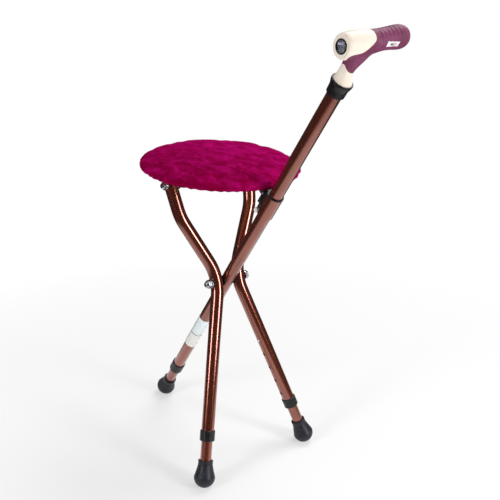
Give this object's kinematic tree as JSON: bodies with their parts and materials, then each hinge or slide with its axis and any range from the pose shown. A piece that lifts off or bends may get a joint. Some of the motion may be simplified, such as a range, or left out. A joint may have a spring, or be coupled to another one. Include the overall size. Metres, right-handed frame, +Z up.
{
  "type": "walking stick seat",
  "caption": "Folding walking stick with a round padded seat: the shaft and bent legs on one pivot make a stool, with a T handle that holds a torch.",
  "frame": {"origin": "on the floor, under the middle of the open stick seat", "axes": "+Z up, +X towards the handle, pivot bolt along Y"},
  "size_m": [0.5317, 0.265, 0.7555],
  "materials": {
    "bronze_tube": "bronze anodised",
    "black_nylon": "black nylon",
    "reflective_tape": "reflective tape",
    "reflective_tape_low": "reflective tape",
    "stem_nylon": "glass-filled nylon",
    "steel_hardware": "zinc plated steel",
    "ivory_plastic": "satin moulded",
    "plum_grip": "soft plum elastomer",
    "bezel_black": "black moulded",
    "lens_clear": "clear",
    "reflector_bright": "bright",
    "lamp_board": "circuit board",
    "cell_steel": "bright",
    "switch_pale": "pale moulded",
    "switch_slider": "grey moulded",
    "bronze_extension": "bronze anodised",
    "foot_rubber": "moulded rubber",
    "spring_steel": "bright steel",
    "plywood": "plywood",
    "foam": "foam",
    "seat_pile": "brushed pile",
    "elastic": "braided elastic",
    "black_steel": "black painted steel",
    "white_nylon": "white nylon"
  },
  "bodies": {
    "shaft": {"shaft_tube": "bronze_tube", "pivot_bushes": "black_nylon", "reflective_band_upper": "reflective_tape", "reflective_band_lower": "reflective_tape_low", "shaft_collar": "black_nylon", "handle_collar": "black_nylon", "handle_stem": "stem_nylon", "handle_pin": "steel_hardware", "handle_shell_front": "ivory_plastic", "handle_shell_back": "ivory_plastic", "handle_grip": "plum_grip", "handle_screws": "steel_hardware", "torch_bezel": "bezel_black", "torch_lens": "lens_clear", "torch_reflector": "reflector_bright", "lamp_board": "lamp_board", "battery_cells": "cell_steel", "battery_spring": "steel_hardware", "switch_plate": "switch_pale"},
    "torch_slider": {"torch_switch": "switch_slider"},
    "shaft_extension": {"shaft_extension_tube": "bronze_extension", "shaft_foot": "foot_rubber", "shaft_clip": "spring_steel"},
    "shaft_snap_button": {"shaft_button": "spring_steel"},
    "legs": {"left_leg_tube": "bronze_tube", "right_leg_tube": "bronze_tube", "left_leg_collar": "black_nylon", "right_leg_collar": "black_nylon", "left_leg_plug": "black_nylon", "right_leg_plug": "black_nylon", "pivot_bolt": "steel_hardware", "pivot_nut": "steel_hardware", "pivot_washers": "steel_hardware", "leg_saddle_washers": "steel_hardware"},
    "left_extension": {"left_extension_tube": "bronze_extension", "left_foot": "foot_rubber", "left_clip": "spring_steel"},
    "left_snap_button": {"left_button": "spring_steel"},
    "right_extension": {"right_extension_tube": "bronze_extension", "right_foot": "foot_rubber", "right_clip": "spring_steel"},
    "right_snap_button": {"right_button": "spring_steel"},
    "seat": {"seat_board": "plywood", "seat_foam": "foam", "seat_cover": "seat_pile", "hem_elastic": "elastic", "leg_yoke": "black_steel", "seat_bracket": "black_steel", "seat_screws": "steel_hardware", "hinge_bolts": "steel_hardware", "hinge_nuts": "steel_hardware"},
    "sleeve": {"sleeve_tube": "bronze_tube", "sleeve_liner": "black_nylon", "sleeve_ears": "black_steel", "sleeve_pin": "steel_hardware", "lever_pin": "steel_hardware", "lever_spring": "steel_hardware"},
    "lever": {"release_lever": "black_steel", "brake_roller": "white_nylon"}
  },
  "joints": [
    {"name": "leg_fold", "type": "hinge", "parent": "shaft", "child": "legs", "pos_m": [-0.03827, 0, 0.3214], "axis": [0, 1, 0], "range_deg": [0, 50.8]},
    {"name": "seat_hinge", "type": "hinge", "parent": "legs", "child": "seat", "pos_m": [-0.08738, 0, 0.49041], "axis": [0, 1, 0], "range_deg": [-109.68, 0]},
    {"name": "sleeve_hinge", "type": "hinge", "parent": "seat", "child": "sleeve", "pos_m": [0.06153, 0, 0.50129], "axis": [0, 1, 0], "range_deg": [0, 58.88]},
    {"name": "release_lever", "type": "hinge", "parent": "sleeve", "child": "lever", "pos_m": [0.05328, 0, 0.48511], "axis": [0, 1, 0], "range_deg": [0, 6], "stiffness_Nm_per_rad": 0.05, "springref_deg": -5.73, "deforming": ["lever_spring"]},
    {"name": "torch_slide", "type": "slide", "parent": "shaft", "child": "torch_slider", "axis": [0, -1, 0], "range_m": [0, 0.004]},
    {"name": "shaft_extension_slide", "type": "slide", "parent": "shaft", "child": "shaft_extension", "axis": [-0.5678, 0, -0.8231], "range_m": [0, 0.112], "deforming": ["shaft_button", "shaft_clip"]},
    {"name": "shaft_button_press", "type": "slide", "parent": "shaft_extension", "child": "shaft_snap_button", "axis": [0, -1, 0], "range_m": [0, 0.003], "stiffness_N_per_m": 800, "springref_m": -0.002, "deforming": ["shaft_clip"]},
    {"name": "left_extension_slide", "type": "slide", "parent": "legs", "child": "left_extension", "axis": [0.2679, 0.279, -0.9222], "range_m": [0, 0.112], "deforming": ["left_button", "left_clip"]},
    {"name": "left_button_press", "type": "slide", "parent": "left_extension", "child": "left_snap_button", "axis": [-0.0778, 0.9603, 0.2679], "range_m": [0, 0.003], "stiffness_N_per_m": 800, "springref_m": -0.002, "deforming": ["left_clip"]},
    {"name": "right_extension_slide", "type": "slide", "parent": "legs", "child": "right_extension", "axis": [0.2679, -0.279, -0.9222], "range_m": [0, 0.112], "deforming": ["right_button", "right_clip"]},
    {"name": "right_button_press", "type": "slide", "parent": "right_extension", "child": "right_snap_button", "axis": [-0.0778, -0.9603, 0.2679], "range_m": [0, 0.003], "stiffness_N_per_m": 800, "springref_m": -0.002, "deforming": ["right_clip"]}
  ],
  "couplings": [
    {"joint": "seat_hinge", "follows": "leg_fold", "ratio": -2.1581},
    {"joint": "sleeve_hinge", "follows": "leg_fold", "ratio": 1.1581}
  ]
}
